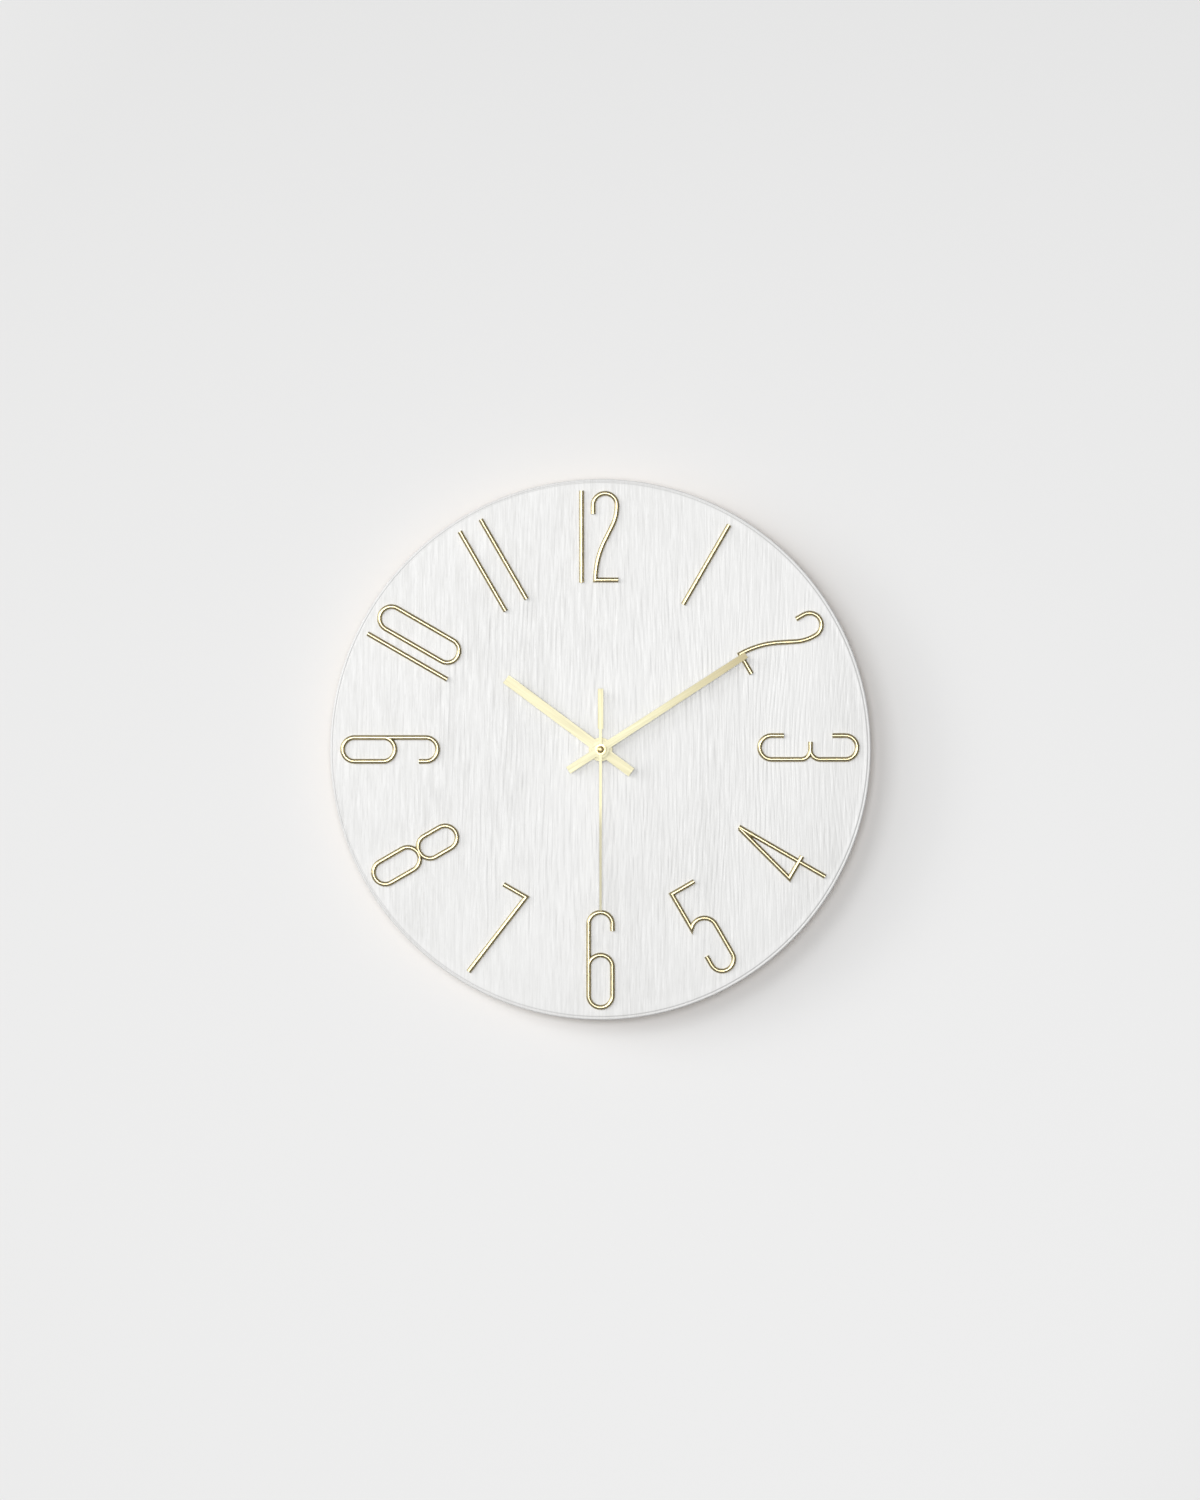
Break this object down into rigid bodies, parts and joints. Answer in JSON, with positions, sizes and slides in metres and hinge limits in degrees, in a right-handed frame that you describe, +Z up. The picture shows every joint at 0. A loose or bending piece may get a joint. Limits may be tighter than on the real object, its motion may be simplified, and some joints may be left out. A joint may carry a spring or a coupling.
{
  "type": "wall clock",
  "caption": "Round frameless wall clock: film-faced dial board with raised rod numerals, flat gold hands and a battery quartz movement with a hanging lug.",
  "frame": {"origin": "on the wall plane, on the axis of the hands (centre of the back of the movement case)", "axes": "+X right and +Z up for someone facing the dial, +Y into the wall along the axis of the hands"},
  "size_m": [0.3, 0.0319, 0.3],
  "materials": {
    "mdf": "raw medium-density fibreboard",
    "film": "white wood-grain film, embossed, satin",
    "numeral_metal": "brushed and lacquered",
    "hand_metal": "pale gold anodised, satin",
    "bright_brass": "polished",
    "turned_brass": "turned",
    "gasket_rubber": "matte black",
    "case_plastic": "moulded black",
    "gear_plastic": "moulded natural acetal",
    "steel": "bright steel",
    "contact_metal": "nickel-plated spring strip",
    "cell_steel": "nickel-plated",
    "cell_sleeve": "plain printed sleeve",
    "board_laminate": "green solder mask",
    "epoxy": "black potting",
    "copper_wire": "enamelled copper, wound",
    "magnet": "sintered"
  },
  "bodies": {
    "dial_and_movement": {"dial_board": "mdf", "face_film": "film", "numeral_1": "numeral_metal", "numeral_2": "numeral_metal", "numeral_3": "numeral_metal", "numeral_4": "numeral_metal", "numeral_5": "numeral_metal", "numeral_6": "numeral_metal", "numeral_7": "numeral_metal", "numeral_8": "numeral_metal", "numeral_9": "numeral_metal", "numeral_10_one": "numeral_metal", "numeral_10_zero": "numeral_metal", "numeral_11_left": "numeral_metal", "numeral_11_right": "numeral_metal", "numeral_12_one": "numeral_metal", "numeral_12_two": "numeral_metal", "rubber_gasket": "gasket_rubber", "dial_washer": "turned_brass", "hex_nut": "turned_brass", "threaded_bushing": "turned_brass", "movement_case": "case_plastic", "hanging_lug": "case_plastic", "movement_front_plate": "case_plastic", "plate_screws": "steel", "train_bridge": "gear_plastic", "contact_positive": "contact_metal", "contact_negative": "contact_metal", "circuit_board": "board_laminate", "quartz_crystal": "steel", "chip_blob": "epoxy", "coil_bobbin": "gear_plastic", "coil_winding": "copper_wire", "coil_core": "steel", "stator_plate": "steel"},
    "minute_set": {"minute_hand": "hand_metal", "minute_pipe": "turned_brass"},
    "hour_set": {"hour_hand": "hand_metal", "hour_wheel": "gear_plastic"},
    "minute_gear": {"minute_wheel": "gear_plastic"},
    "setting": {"set_knob": "case_plastic", "set_pinion": "gear_plastic"},
    "second_set": {"second_hand": "hand_metal", "second_hand_cap": "bright_brass", "second_shaft": "steel", "second_wheel": "gear_plastic"},
    "intermediate": {"intermediate_wheel": "gear_plastic"},
    "rotor": {"rotor_magnet": "magnet", "rotor_pinion": "gear_plastic"},
    "third": {"third_wheel": "gear_plastic"},
    "center": {"center_wheel": "gear_plastic"},
    "battery": {"battery_can": "cell_steel", "battery_sleeve": "cell_sleeve"}
  },
  "joints": [
    {"name": "minute_hand_turn", "type": "hinge", "parent": "dial_and_movement", "child": "minute_set", "pos_m": [0, -0.012, 0], "axis": [0, 1, 0], "continuous": true},
    {"name": "hour_hand_turn", "type": "hinge", "parent": "dial_and_movement", "child": "hour_set", "pos_m": [0, -0.012, 0], "axis": [0, 1, 0], "continuous": true},
    {"name": "minute_gear_turn", "type": "hinge", "parent": "dial_and_movement", "child": "minute_gear", "pos_m": [0.00233, -0.012, 0.00869], "axis": [0, 1, 0], "continuous": true},
    {"name": "set_knob_turn", "type": "hinge", "parent": "dial_and_movement", "child": "setting", "pos_m": [0.01012, -0.012, 0.01319], "axis": [0, 1, 0], "continuous": true},
    {"name": "second_hand_turn", "type": "hinge", "parent": "dial_and_movement", "child": "second_set", "pos_m": [0, -0.012, 0], "axis": [0, 1, 0], "continuous": true},
    {"name": "intermediate_turn", "type": "hinge", "parent": "dial_and_movement", "child": "intermediate", "pos_m": [-0.00562, -0.012, 0.0067], "axis": [0, 1, 0], "continuous": true},
    {"name": "rotor_turn", "type": "hinge", "parent": "dial_and_movement", "child": "rotor", "pos_m": [-0.00958, -0.012, 0.01356], "axis": [0, 1, 0], "continuous": true},
    {"name": "third_gear_turn", "type": "hinge", "parent": "dial_and_movement", "child": "third", "pos_m": [0.00839, -0.012, 0.00305], "axis": [0, 1, 0], "continuous": true},
    {"name": "center_gear_turn", "type": "hinge", "parent": "dial_and_movement", "child": "center", "pos_m": [0, -0.012, 0], "axis": [0, 1, 0], "continuous": true},
    {"name": "battery_slide", "type": "slide", "parent": "dial_and_movement", "child": "battery", "axis": [0, 1, 0], "range_m": [0, 0.02]}
  ],
  "couplings": [
    {"joint": "hour_hand_turn", "follows": "minute_hand_turn", "ratio": 0.083333},
    {"joint": "minute_gear_turn", "follows": "minute_hand_turn", "ratio": -0.33333},
    {"joint": "set_knob_turn", "follows": "minute_hand_turn", "ratio": 1},
    {"joint": "intermediate_turn", "follows": "second_hand_turn", "ratio": -6},
    {"joint": "rotor_turn", "follows": "second_hand_turn", "ratio": 30},
    {"joint": "third_gear_turn", "follows": "second_hand_turn", "ratio": -0.13333},
    {"joint": "center_gear_turn", "follows": "second_hand_turn", "ratio": 0.016667}
  ]
}
